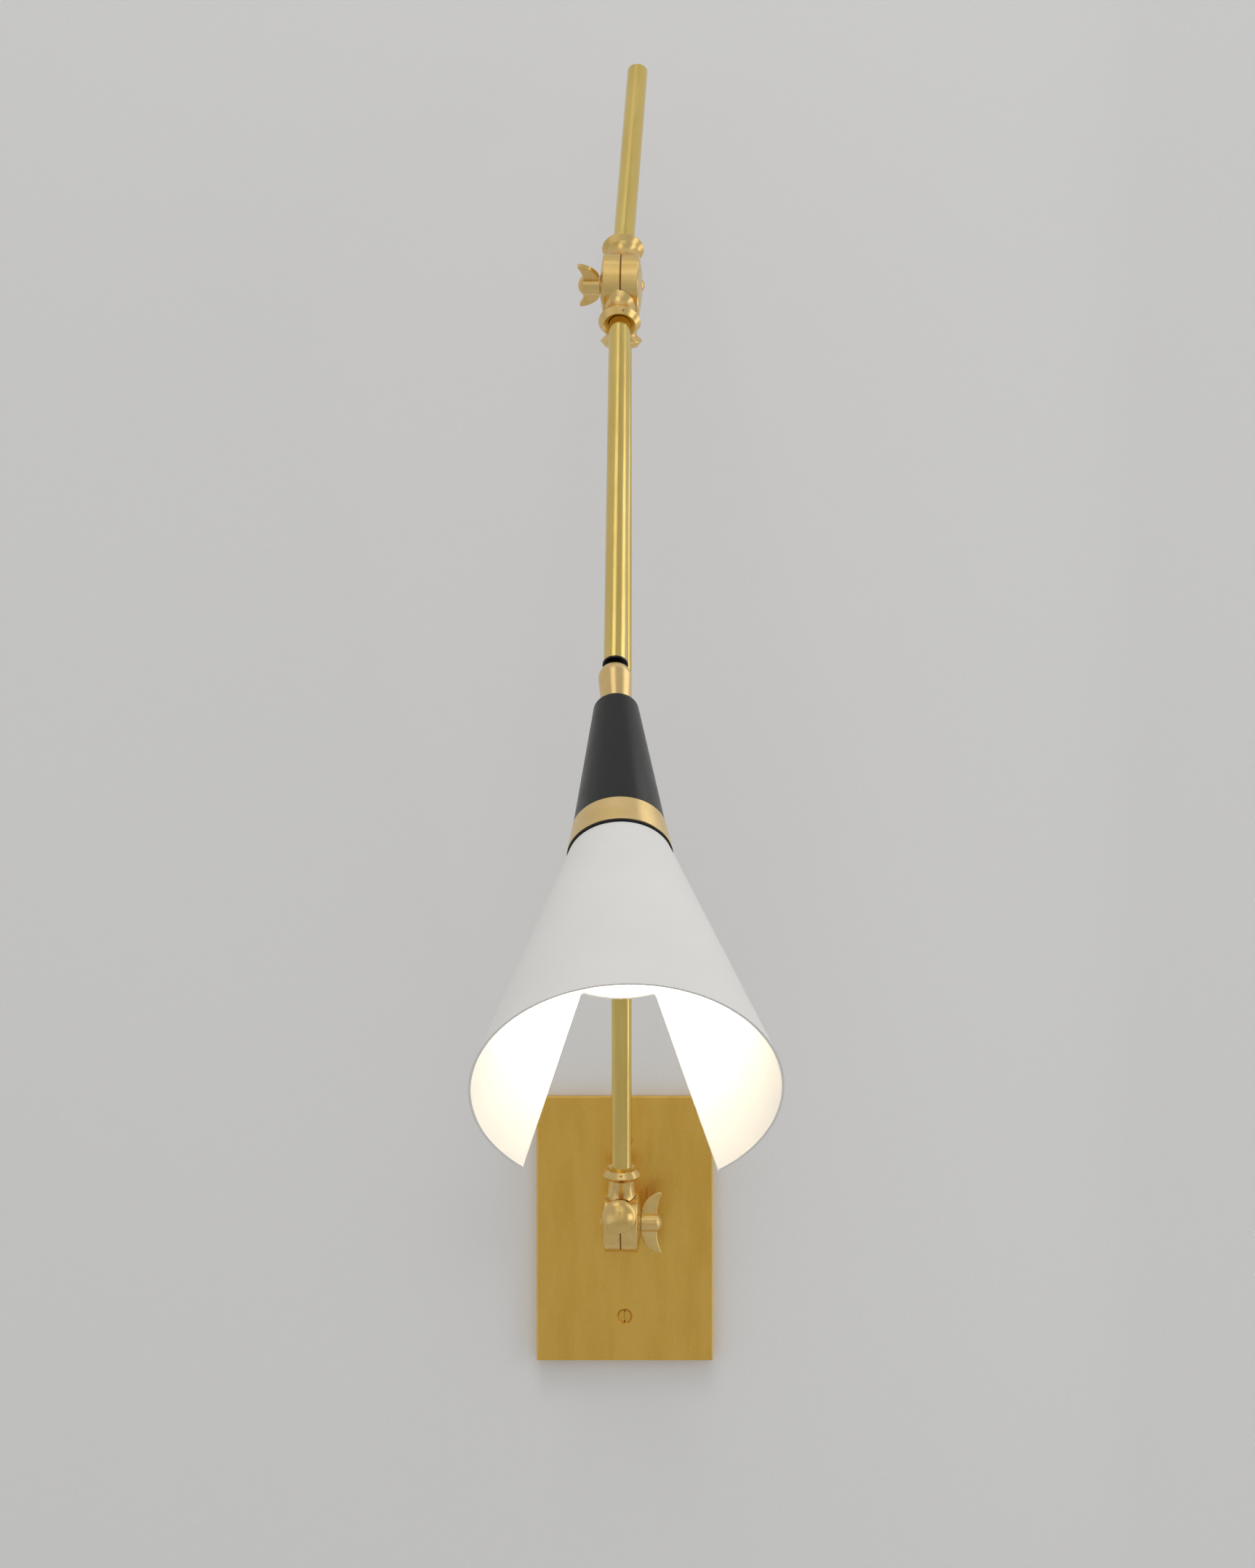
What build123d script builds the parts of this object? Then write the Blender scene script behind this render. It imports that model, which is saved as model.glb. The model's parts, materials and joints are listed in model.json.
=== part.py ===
"""Articulating wall lamp: two brass arms on wing-nut knuckles, with a slotted cone shade.

Frame: X to the right, Y into the wall, Z up. The origin is on the wall, at the
centre of the back plate. Sizes are in millimetres, angles in degrees.
"""
from build123d import *
from math import asin, copysign, cos, radians, sin, sqrt, tan
import os

# ---------------------------------------------------------------- the pose in the photograph
tee_rise = 11.5            # wall knuckle's axis above level
tee_side = -2.4            # and out of the vertical plane, to the right
lower_lean = 14.5          # lower arm from upright, away from the wall
upper_drop = 48.5          # upper arm below level
upper_side = -1.7
tube_slack = 1.3           # each upper tube leans this much in its loose collar
head_drop = 44.0           # shade's axis below level
head_side = 1.18
head_spin = -1.7           # the shade's slot, turned from straight back
elbow_nut_turn = 61.0      # the elbow's wings, from upright towards the room

# ---------------------------------------------------------------- main lengths
plate_width = 114.3        # 4 1/2 in
plate_height = 171.45      # 6 3/4 in
plate_depth = 12.0
plate_sheet = 2.0
stud_reach = 44.9          # wall ball's centre to wall pivot
lower_length = 596.4       # wall pivot to elbow pivot
front_length = 320.5       # elbow pivot to head ball's centre
tail_length = 206.5        # elbow pivot to the tail's end
tube_radius = 6.35         # 1/2 in tube
tube_wall = 1.0

# ---------------------------------------------------------------- knuckles, reaches from the bolt's axis
lobe_radius = 19.0
lobe_thick = 10.2
lobe_camber = 2.2          # bulge of a lobe's outer side
lap_gap = 0.3              # each mating face from the middle plane
lap_clear = 0.4            # around the other lobe's edge
lobe_bevel = 0.4
root_radius = lap_gap + lobe_thick
root_reach = 16.0
waist_radius = 8.75
waist_reach = 23.4
flare_radius = 9.6
flare_reach = 29.8
rim_radius = 12.5
rim_reach = 33.2
rim_flat = 0.5
end_radius = 9.8
end_reach = 36.6
lip_radius = 9.4
lip_depth = 2.2
socket_radius = 6.6
socket_depth = 14.0
fold_angle = 22.5          # a neck's relief towards the other knuckle, from its axis
tee_fold_angle = 21.0      # the same at the wall, where the foot's neck gives up less
foot_fold_angle = 25.5
wire_radius = 4.0
wire_way_start = 7.5
race_inner = 4.5           # ring-shaped wire space in each mating face
race_outer = 12.0
race_depth = 5.0
run_clear = 0.05           # radial, between a shaft and its hole
free_gap = 0.3             # between pieces that pass each other

# ---------------------------------------------------------------- bolts, nuts, small screws
bolt_radius = 2.5
bolt_head_radius = 3.5
bolt_head_height = 1.4
bolt_grip = 9.0            # of the bolt inside the nut
washer_inner = 12.6
washer_outer = 17.6
washer_thick = 0.5
nut_radius = 5.9
nut_straight = 9.9
nut_length = 13.1
nut_bore_depth = 10.0
wing_thick = 3.0
wing_round = 0.7
wing_start = 0.4           # from the nut's inner face
wing_root = 9.8            # from the bolt's axis
wing_belly_out = 4.8
wing_belly = 16.3
wing_out = 12.0
wing_span = 19.6
wing_tip = 0.6
wing_hollow_out = 10.4
wing_hollow = 11.4
grub_radius = 1.1
grub_clear = 0.02
grub_length = 5.0
grub_socket_radius = 0.6
grub_socket_depth = 1.4
grub_reach = 35.0          # bolt's axis to the grub screw's outer end
grub_turn = 13.0           # the grub screw in sight, turned to the right
stud_grub_reach = 28.5
stud_grub_top = 9.1
stud_grub_tip = 6.1
stud_groove_radius = 5.8
stud_groove_half = 1.4
cap_radius = 10.5
cap_brim = 3.0
cap_dome = 4.6
cap_spigot = 10.0
tail_plug_thick = 1.2
tail_plug_depth = 6.8
tail_plug_bevel = 0.5

# ---------------------------------------------------------------- wall mount, distances out of the wall
plate_corner = 1.2
plate_edge_round = 1.0
wall_ball_out = 7.0
wall_ball_radius = 6.5
wall_liner_radius = 7.3
wall_liner_front = 44.5    # edges of the liner, as angles from the ball's front
wall_liner_back = 130.0
boss_radius = 12.0
boss_back = 2.4
stud_neck_radius = 3.2
stud_wire_radius = 2.0
stud_clear = 0.3
retainer_thick = 1.2
retainer_screw_pitch = 9.4
retainer_screw_radius = 0.9
retainer_screw_length = 4.6
retainer_head_radius = 1.7
retainer_head_height = 0.9
screw_spacing = 114.3      # 4 1/2 in
screw_radius = 2.0
screw_tip = 1.0
sink_radius = 5.1          # countersink at the plate's face
sink_depth = 1.1           # the screw's head sits this deep in it
screw_slot_width = 1.0
screw_slot_depth = 1.2
strap_width = 38.0
strap_length = 136.0
strap_thick = 2.0
strap_round = 6.0
strap_hole_radius = 13.5
strap_bush_radius = 4.2
strap_bush_length = 4.5
slot_spacing = 88.9        # 3 1/2 in, standard wall box
slot_width = 5.0
slot_length = 13.0

# ---------------------------------------------------------------- head ball joint
head_ball_radius = 7.2
head_liner_radius = 7.95
head_liner_back = 56.0     # edges of the liner, as angles from the arm's side
head_liner_front = 125.0
stud_flange_radius = 6.95
stud_flange_thick = 1.2
stud_plug_length = 14.0
tube_gap = 8.0             # ball's centre to the stud's flange
head_neck_radius = 3.4
head_wire_radius = 2.0

# ---------------------------------------------------------------- head, distances along its axis
sleeve_mouth = -3.5
sleeve_mouth_radius = 7.5
sleeve_belly = 2.2
sleeve_belly_radius = 9.15
sleeve_end = 23.7
sleeve_end_radius = 7.75
sleeve_web_top = 9.0
sleeve_web_thick = 3.5
sleeve_lower_bore = 6.6
nipple_radius = 5.0
nipple_wire_radius = 3.6
nipple_flange_radius = 6.4
nipple_flange_thick = 1.4
handle_nut_radius = 8.0
handle_nut_thick = 4.0
handle_top = sleeve_end + free_gap
handle_top_radius = 8.6
handle_shoulder = 27.4
handle_shoulder_radius = 12.2
handle_round = 1.1         # in and down from its corner
handle_end = 118.1
handle_end_radius = 24.3
handle_wall = 3.4
handle_web = 34.0
spigot_radius = 21.0
spigot_depth = 7.6
spigot_wall = 1.7
ring_top_radius = 24.6
ring_end = 136.6
ring_end_radius = 27.4
ring_wall = 1.5
ring_web = 2.0
gasket_thick = 0.9
gasket_radius = 27.3
shade_top = ring_end + gasket_thick
shade_end = 295.9
shade_top_radius = 26.4
shade_end_radius = 76.1    # 6 in mouth
shade_sheet = 1.2
shade_top_round = 1.4
slot_top = 195.0
slot_top_half = 18.9
slot_end_half = 48.2
slot_top_round = 2.5
slot_end_round = 8.0
holder_radius = 16.5
holder_top = 100.0
holder_end = 150.0
holder_wall = 1.6
holder_cap = 8.0
holder_flange_radius = 19.0
holder_flange_thick = 2.0
holder_hole_radius = holder_radius + 0.1
holder_wire_radius = 3.0
shell_radius = 14.6
shell_thick = 0.7
shell_end = 148.0
lock_ring_radius = 22.0
lock_ring_thick = 4.0
lock_ring_grips = 12
lock_ring_grip_radius = 1.6
contact_reach = 9.0
contact_width = 5.0
contact_thick = 0.8
base_radius = 13.2
base_tip_radius = 4.8
base_tip_thick = 1.6
base_tip = 112.6           # end of the bulb's base, towards the holder's cap
base_shoulder = 117.0
base_end = 146.0
base_ridge_pitch = 4.0
base_ridge_height = 0.7
globe_radius = 22.5
globe_centre = 182.0
globe_sheet = 0.8
globe_neck_radius = 12.2


# ---------------------------------------------------------------- directions and frames

def heading(side, rise):
    """Out of the wall, rise degrees up and side degrees to the right of the vertical plane."""
    level = cos(radians(side)) * cos(radians(rise))
    upright = cos(radians(side)) * sin(radians(rise))
    return Vector(sin(radians(side)), -level, upright)


def section_of(frame):
    """The plane through a frame's axis: its x is the frame's x and its y runs along the axis."""
    return Plane(frame.origin, x_dir=frame.x_dir, z_dir=-frame.y_dir)


def across(frame, distance=0.0):
    """The plane square to a knuckle's bolt, distance from its middle: x is the frame's y."""
    return Plane(frame.origin + frame.x_dir * distance, x_dir=frame.y_dir, z_dir=frame.x_dir)


def axis_of(frame):
    return Axis(frame.origin, frame.z_dir)


def bolt_axis(frame):
    return Axis(frame.origin, frame.x_dir)


def turned(vector, about, angle):
    return vector.rotate(Axis((0, 0, 0), about), angle)


def leaning(frame, reach, lean):
    """The frame of a tube that leans towards the bolt line about a point inside its collar."""
    x_dir = turned(frame.x_dir, frame.y_dir, lean)
    z_dir = turned(frame.z_dir, frame.y_dir, lean)
    return Plane(frame.offset(reach).origin, x_dir=x_dir, z_dir=z_dir).offset(-reach)


def dome_middle(base, height):
    """A point halfway up a round dome's section, as its radius and its rise."""
    bend = (base**2 + height**2) / (2 * height)
    half_turn = asin(base / bend) / 2
    return bend * sin(half_turn), height - bend * (1 - cos(half_turn))


def camber_reach(radius):
    """Distance of a lobe's cambered side from the middle plane, at a radius from the bolt."""
    bend = (lobe_radius**2 + lobe_camber**2) / (2 * lobe_camber)
    return root_radius + lobe_camber - bend + sqrt(bend**2 - radius**2)


tee_line = heading(tee_side, tee_rise)
lower_line = heading(0, 90 - lower_lean)
upper_line = heading(upper_side, -upper_drop)
head_line = heading(head_side, -head_drop)
wall_bolt_line = lower_line.cross(tee_line).normalized()
elbow_bolt_line = lower_line.cross(upper_line).normalized()

wall_face = Plane((0, 0, 0), x_dir=(1, 0, 0), z_dir=(0, -1, 0))
wall_ball = Vector(0, -wall_ball_out, 0)
wall_pivot = wall_ball + tee_line * stud_reach
elbow_pivot = wall_pivot + lower_line * lower_length

wall_stud_frame = Plane(wall_ball, x_dir=wall_bolt_line, z_dir=tee_line)
wall_tee_frame = Plane(wall_pivot, x_dir=wall_bolt_line, z_dir=tee_line)
foot_frame = Plane(wall_pivot, x_dir=wall_bolt_line, z_dir=lower_line)
top_frame = Plane(elbow_pivot, x_dir=elbow_bolt_line, z_dir=-lower_line)
elbow_tee_frame = Plane(elbow_pivot, x_dir=elbow_bolt_line, z_dir=upper_line)
collar_middle = end_reach - socket_depth / 2
front_frame = leaning(elbow_tee_frame, collar_middle, tube_slack)
tail_frame = leaning(elbow_tee_frame, -collar_middle, -tube_slack)
arm_ball_frame = front_frame.offset(front_length)
level_line = Vector(0, 0, 1).cross(head_line).normalized()
head_frame = Plane(arm_ball_frame.origin, x_dir=turned(level_line, head_line, head_spin), z_dir=head_line)

tube_start = end_reach - socket_depth + free_gap
tube_end = front_length - tube_gap - stud_flange_thick
tube_bore = tube_radius - tube_wall
nut_reach = camber_reach(nut_radius + free_gap) + free_gap
head_flat_reach = camber_reach(bolt_head_radius)

os.makedirs("parts", exist_ok=True)


def save(part, name):
    part.label = name
    export_step(part, "parts/" + name + ".step")


# ---------------------------------------------------------------- knuckles

def neck_profile(frame, end):
    """Half the section of a neck and collar, with the collar's socket."""
    with BuildSketch(section_of(frame)) as outline:
        with BuildLine():
            Polyline(
                (0, 0),
                (root_radius, 0),
                (root_radius, end * root_reach),
            )
            ThreePointArc(
                (root_radius, end * root_reach),
                (waist_radius, end * waist_reach),
                (flare_radius, end * flare_reach),
            )
            Polyline(
                (flare_radius, end * flare_reach),
                (rim_radius, end * (rim_reach - rim_flat)),
                (rim_radius, end * rim_reach),
                (end_radius, end * end_reach),
                (lip_radius, end * end_reach),
                (socket_radius, end * (end_reach - lip_depth)),
                (socket_radius, end * (end_reach - socket_depth)),
                (0, end * (end_reach - socket_depth)),
                (0, 0),
            )
        make_face()
    return outline.sketch


def fold_relief(frame, end, angle):
    """The wedge beside a neck that the other knuckle needs: a signed angle from the neck's axis."""
    edge = rim_reach * tan(radians(angle))
    side = copysign(rim_reach, angle)
    with BuildSketch(across(frame)) as outline:
        with BuildLine():
            Polyline((0, 0), (edge, end * rim_reach), (side, end * rim_reach), (side, 0), close=True)
        make_face()
    return outline.sketch


def lobe_profile(frame, hand, flat_radius):
    """Half the section of a lobe, about the bolt: a flat, then the cambered side, then a bevelled rim."""
    flat = camber_reach(flat_radius)
    middle = (lobe_radius + flat_radius) / 2
    brow = lobe_radius - lobe_bevel
    with BuildSketch(section_of(frame)) as outline:
        with BuildLine():
            Polyline(
                (hand * flat, flat_radius),
                (hand * flat, 0),
                (hand * lap_gap, 0),
                (hand * lap_gap, brow),
                (hand * (lap_gap + lobe_bevel), lobe_radius),
                (hand * (root_radius - lobe_bevel), lobe_radius),
                (hand * camber_reach(brow), brow),
            )
            ThreePointArc(
                (hand * camber_reach(brow), brow),
                (hand * camber_reach(middle), middle),
                (hand * flat, flat_radius),
            )
        make_face()
    return outline.sketch


def disc(plane, radius, hole=0.0):
    """A round, or a ring if it has a hole, on a plane."""
    with BuildSketch(plane) as outline:
        Circle(radius)
        if hole:
            Circle(hole, mode=Mode.SUBTRACT)
    return outline.sketch


def rim_screw_frame(frame, end, turn):
    """Square to the cone between a collar's rim and its end, facing out of it."""
    slope = Vector(end_reach - rim_reach, rim_radius - end_radius, 0).normalized()
    radius = rim_radius - (grub_reach - rim_reach) * slope.Y / slope.X
    outward = turned(frame.y_dir, frame.z_dir, -turn)
    spot = frame.origin + frame.z_dir * end * grub_reach + outward * radius
    facing = outward * slope.X + frame.z_dir * end * slope.Y
    return Plane(spot, x_dir=frame.z_dir.cross(outward), z_dir=facing)


def stud_screw_frame(frame):
    """Under the wall knuckle's back collar, facing out from its axis."""
    under = -frame.y_dir
    return Plane(frame.origin - frame.z_dir * stud_grub_reach, x_dir=frame.z_dir, z_dir=under)


def make_knuckle(name, frame, hand, ends, folds, flat_radius, screw_frames):
    """A half-lap knuckle: a lobe on the hand side, and a collar at each of its ends."""
    with BuildPart() as knuckle:
        for end in ends:
            revolve(neck_profile(frame, end), axis=axis_of(frame))
        for end, angle in folds:
            extrude(fold_relief(frame, end, angle), amount=rim_radius, both=True, mode=Mode.SUBTRACT)
        lap = disc(across(frame, hand * lap_gap), lobe_radius + lap_clear)
        extrude(lap, amount=-hand * 2 * root_radius, mode=Mode.SUBTRACT)
        revolve(lobe_profile(frame, hand, flat_radius), axis=bolt_axis(frame))
        race = disc(across(frame, hand * lap_gap), race_outer, race_inner)
        extrude(race, amount=hand * race_depth, mode=Mode.SUBTRACT)
        for end in ends:
            way = disc(frame.offset(end * wire_way_start), wire_radius)
            extrude(way, amount=end * (end_reach - socket_depth), mode=Mode.SUBTRACT)
        hole = disc(across(frame), bolt_radius + run_clear)
        extrude(hole, amount=2 * lobe_thick, both=True, mode=Mode.SUBTRACT)
        for screw_frame in screw_frames:
            bore = disc(screw_frame, grub_radius + grub_clear)
            extrude(bore, amount=rim_radius, both=True, mode=Mode.SUBTRACT)
    save(knuckle.part, name)


def make_bolt(name, frame, hand):
    """A pivot bolt with a low domed head on the hand side."""
    face = hand * head_flat_reach
    tail = -hand * (nut_reach + bolt_grip)
    dome_radius, dome_rise = dome_middle(bolt_head_radius, bolt_head_height)
    with BuildPart() as bolt:
        with BuildSketch(section_of(frame)):
            with BuildLine():
                Polyline(
                    (face + hand * bolt_head_height, 0),
                    (tail, 0),
                    (tail, bolt_radius),
                    (face, bolt_radius),
                    (face, bolt_head_radius),
                )
                ThreePointArc(
                    (face, bolt_head_radius),
                    (face + hand * dome_rise, dome_radius),
                    (face + hand * bolt_head_height, 0),
                )
            make_face()
        revolve(axis=bolt_axis(frame))
    save(bolt.part, name)


def make_friction_washer(name, frame, hand):
    """A fibre ring between the two lobes, on the mating face of the hand side."""
    with BuildPart() as washer:
        ring = disc(across(frame, hand * lap_gap), washer_outer, washer_inner)
        extrude(ring, amount=-hand * washer_thick)
    save(washer.part, name)


def is_wing_edge(middle):
    """Whether an edge with this middle runs round a wing's flat side, clear of the barrel."""
    return abs(middle.Z) > wing_thick / 4 and abs(middle.Y) > nut_radius * 0.85


def make_wing_nut(name, pivot, outward, wing_line):
    """A wing nut on a pivot bolt: a barrel with a domed end and two horn-shaped wings."""
    dome_radius, dome_rise = dome_middle(nut_radius, nut_length - nut_straight)
    section = Plane(pivot + outward * nut_reach, x_dir=outward, z_dir=outward.cross(wing_line))
    with BuildPart() as nut:
        for side in (1, -1):
            with BuildSketch(section):
                with BuildLine():
                    root = (wing_start, side * wing_root)
                    tip = (wing_out - wing_tip, side * wing_span)
                    notch = (wing_out + wing_tip, side * (wing_span - 3 * wing_tip))
                    heel = (nut_straight, side * nut_radius * 0.8)
                    Polyline((wing_start, 0), root)
                    ThreePointArc(root, (wing_belly_out, side * wing_belly), tip)
                    ThreePointArc(tip, (wing_out + wing_tip, side * (wing_span - wing_tip)), notch)
                    ThreePointArc(notch, (wing_hollow_out, side * wing_hollow), heel)
                    Polyline(heel, (nut_straight, 0), (wing_start, 0))
                make_face()
            extrude(amount=wing_thick / 2, both=True)
        outline = nut.edges().filter_by(lambda edge: is_wing_edge(section.to_local_coords(edge.center())))
        fillet(outline, wing_round)
        with BuildSketch(section):
            with BuildLine():
                Polyline((nut_length, 0), (0, 0), (0, nut_radius), (nut_straight, nut_radius))
                ThreePointArc(
                    (nut_straight, nut_radius),
                    (nut_straight + dome_rise, dome_radius),
                    (nut_length, 0),
                )
            make_face()
        revolve(axis=Axis(section.origin, outward))
        with BuildSketch(Plane(section.origin, z_dir=outward)):
            Circle(bolt_radius + run_clear)
        extrude(amount=nut_bore_depth, mode=Mode.SUBTRACT)
    save(nut.part, name)


def make_grub_screws(name, screw_frames, length):
    """Headless screws, each with a socket in its outer end."""
    with BuildPart() as screws:
        for screw_frame in screw_frames:
            top = screw_frame.offset(-grub_clear)
            extrude(disc(top, grub_radius), amount=-length)
            extrude(disc(top, grub_socket_radius), amount=-grub_socket_depth, mode=Mode.SUBTRACT)
    save(screws.part, name)


def make_tube(name, frame, start, end):
    with BuildPart() as tube:
        extrude(disc(frame.offset(start), tube_radius, tube_bore), amount=end - start)
    save(tube.part, name)


# ---------------------------------------------------------------- wall mount

def make_back_plate():
    """A shallow pan, open to the wall, with a boss behind its front that holds the ball."""
    front_inside = plate_depth - plate_sheet
    with BuildPart() as back_plate:
        with BuildSketch(wall_face):
            RectangleRounded(plate_width, plate_height, plate_corner)
        extrude(amount=plate_depth)
        fillet(back_plate.faces().sort_by(Axis.Y)[0].edges(), plate_edge_round)
        with BuildSketch(wall_face):
            Rectangle(plate_width - 2 * plate_sheet, plate_height - 2 * plate_sheet)
        extrude(amount=front_inside, mode=Mode.SUBTRACT)
        extrude(disc(wall_face.offset(boss_back), boss_radius), amount=front_inside - boss_back)
        pocket = disc(wall_face.offset(boss_back), wall_liner_radius + run_clear)
        extrude(pocket, amount=wall_ball_out - boss_back, mode=Mode.SUBTRACT)
        with Locations(wall_ball):
            Sphere(wall_liner_radius + run_clear, mode=Mode.SUBTRACT)
        with Locations(wall_face.offset(plate_depth).location):
            with GridLocations(1, screw_spacing, 1, 2):
                CounterSinkHole(sink_radius - plate_sheet, sink_radius)
        with Locations(wall_face.offset(boss_back).location):
            with PolarLocations(retainer_screw_pitch, 3, start_angle=90):
                thread = retainer_screw_radius + grub_clear
                Cylinder(thread, 2 * (retainer_screw_length - retainer_thick), mode=Mode.SUBTRACT)
    save(back_plate.part, "back_plate")


def make_mounting_strap():
    """A steel strap at the wall: slots for the wall box, and threads for the plate's screws."""
    with BuildPart() as strap:
        with BuildSketch(wall_face):
            RectangleRounded(strap_width, strap_length, strap_round)
            Circle(strap_hole_radius, mode=Mode.SUBTRACT)
            with GridLocations(1, slot_spacing, 1, 2):
                SlotOverall(slot_length, slot_width, rotation=90, mode=Mode.SUBTRACT)
        extrude(amount=strap_thick)
        with BuildSketch(wall_face.offset(strap_thick)):
            with GridLocations(1, screw_spacing, 1, 2):
                Circle(strap_bush_radius)
        extrude(amount=strap_bush_length)
        with BuildSketch(wall_face):
            with GridLocations(1, screw_spacing, 1, 2):
                Circle(screw_radius + grub_clear)
        extrude(amount=strap_thick + strap_bush_length, mode=Mode.SUBTRACT)
    save(strap.part, "mounting_strap")


def make_plate_screws():
    """Two countersunk screws that hold the plate to the strap."""
    head_face = plate_depth - sink_depth
    head_radius = sink_radius - sink_depth
    with BuildPart() as screws:
        for height in (screw_spacing / 2, -screw_spacing / 2):
            frame = Plane(wall_face.from_local_coords((0, height, 0)), x_dir=(1, 0, 0), z_dir=(0, -1, 0))
            with BuildSketch(section_of(frame)):
                with BuildLine():
                    Polyline(
                        (0, screw_tip),
                        (screw_radius, screw_tip),
                        (screw_radius, head_face - head_radius + screw_radius),
                        (head_radius, head_face),
                        (0, head_face),
                        close=True,
                    )
                make_face()
            revolve(axis=axis_of(frame))
            with BuildSketch(frame.offset(head_face)):
                Rectangle(screw_slot_width, 2 * sink_radius)
            extrude(amount=-screw_slot_depth, mode=Mode.SUBTRACT)
    save(screws.part, "plate_screws")


def make_ball_retainer():
    """A steel ring behind the boss, dished to the ball's liner."""
    with BuildPart() as retainer:
        extrude(disc(wall_face.offset(boss_back), boss_radius), amount=-retainer_thick)
        with Locations(wall_ball):
            Sphere(wall_liner_radius + run_clear, mode=Mode.SUBTRACT)
        with Locations(wall_face.offset(boss_back).location):
            with PolarLocations(retainer_screw_pitch, 3, start_angle=90):
                Cylinder(retainer_screw_radius + grub_clear, 3 * retainer_thick, mode=Mode.SUBTRACT)
    save(retainer.part, "ball_retainer")


def make_retainer_screws():
    """Three pan-head screws through the retainer into the boss."""
    with BuildPart() as screws:
        for plane in PolarLocations(retainer_screw_pitch, 3, start_angle=90).locations:
            foot = Plane(wall_face.location * plane).offset(boss_back - retainer_thick)
            extrude(disc(foot, retainer_screw_radius), amount=retainer_screw_length)
            extrude(disc(foot, retainer_head_radius), amount=-retainer_head_height)
    save(screws.part, "retainer_screws")


# ---------------------------------------------------------------- ball joints

def make_liner(name, frame, inner, outer, start, end):
    """A nylon zone of a sphere around a ball, between two angles from the frame's axis."""
    with BuildPart() as liner:
        with BuildSketch(section_of(frame)):
            with BuildLine():
                CenterArc((0, 0), outer, 90 - end, end - start)
                CenterArc((0, 0), inner, 90 - end, end - start)
                for angle in (90 - start, 90 - end):
                    ray = Vector(cos(radians(angle)), sin(radians(angle)), 0)
                    Line(ray * inner, ray * outer)
            make_face()
        revolve(axis=axis_of(frame))
    save(liner.part, name)


def make_wall_ball_stud():
    """The ball in the plate, its neck, and the shank that the wall knuckle turns on."""
    frame = wall_stud_frame
    shank = socket_radius - run_clear
    collar_end = stud_reach - end_reach
    groove = stud_reach - stud_grub_reach
    step = collar_end + lip_depth
    with BuildPart() as stud:
        with BuildSketch(section_of(frame)):
            with BuildLine():
                Polyline(
                    (0, 0),
                    (stud_neck_radius, 0),
                    (stud_neck_radius, collar_end),
                    (shank, step),
                    (shank, groove - stud_groove_half),
                    (stud_groove_radius, groove - stud_groove_half),
                    (stud_groove_radius, groove + stud_groove_half),
                    (shank, groove + stud_groove_half),
                    (shank, stud_reach - end_reach + socket_depth - stud_clear),
                    (0, stud_reach - end_reach + socket_depth - stud_clear),
                    close=True,
                )
            make_face()
        revolve(axis=axis_of(frame))
        with Locations(frame.origin):
            Sphere(wall_ball_radius)
        extrude(disc(frame, stud_wire_radius), amount=2 * stud_reach, both=True, mode=Mode.SUBTRACT)
    save(stud.part, "wall_ball_stud")


def make_head_ball_stud():
    """The ball at the front tube's end, its flange, and the plug in the tube."""
    frame = arm_ball_frame
    flange = -tube_gap - stud_flange_thick
    with BuildPart() as stud:
        with BuildSketch(section_of(frame)):
            with BuildLine():
                Polyline(
                    (0, 0),
                    (head_neck_radius, 0),
                    (head_neck_radius, -tube_gap),
                    (stud_flange_radius, -tube_gap),
                    (stud_flange_radius, flange),
                    (tube_bore - grub_clear, flange),
                    (tube_bore - grub_clear, flange - stud_plug_length),
                    (0, flange - stud_plug_length),
                    close=True,
                )
            make_face()
        revolve(axis=axis_of(frame))
        with Locations(frame.origin):
            Sphere(head_ball_radius)
        extrude(disc(frame, head_wire_radius), amount=2 * stud_plug_length, both=True, mode=Mode.SUBTRACT)
    save(stud.part, "head_ball_stud")


def make_ball_sleeve():
    """The brass sleeve over the head's ball: a round mouth, then a taper to the handle."""
    frame = head_frame
    bore = head_liner_radius + run_clear
    web_end = sleeve_web_top + sleeve_web_thick
    with BuildPart() as sleeve:
        with BuildSketch(section_of(frame)):
            with BuildLine():
                mouth = (sleeve_mouth_radius, sleeve_mouth)
                belly = (sleeve_belly_radius, sleeve_belly)
                Polyline((0, sleeve_mouth), mouth)
                ThreePointArc(mouth, (sleeve_belly_radius - 0.5, sleeve_mouth + 2.5), belly)
                Polyline(
                    belly,
                    (sleeve_end_radius, sleeve_end),
                    (sleeve_lower_bore, sleeve_end),
                    (sleeve_lower_bore, web_end),
                    (nipple_radius + run_clear, web_end),
                    (nipple_radius + run_clear, sleeve_web_top),
                    (bore, sleeve_web_top),
                    (bore, 0),
                    (0, 0),
                    (0, sleeve_mouth),
                )
            make_face()
        revolve(axis=axis_of(frame))
        with Locations(frame.origin):
            Sphere(bore, mode=Mode.SUBTRACT)
    save(sleeve.part, "ball_sleeve")


def make_knuckle_cap():
    """A domed cap with a spigot in the wall knuckle's front collar."""
    frame = wall_tee_frame
    face = end_reach + free_gap
    brim = face + cap_brim
    dome_radius, dome_rise = dome_middle(cap_radius, cap_dome)
    with BuildPart() as cap:
        with BuildSketch(section_of(frame)):
            with BuildLine():
                Polyline(
                    (0, brim + cap_dome),
                    (0, end_reach - cap_spigot),
                    (socket_radius - grub_clear, end_reach - cap_spigot),
                    (socket_radius - grub_clear, face),
                    (cap_radius, face),
                    (cap_radius, brim),
                )
                ThreePointArc((cap_radius, brim), (dome_radius, brim + dome_rise), (0, brim + cap_dome))
            make_face()
        revolve(axis=axis_of(frame))
    save(cap.part, "knuckle_cap")


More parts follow.
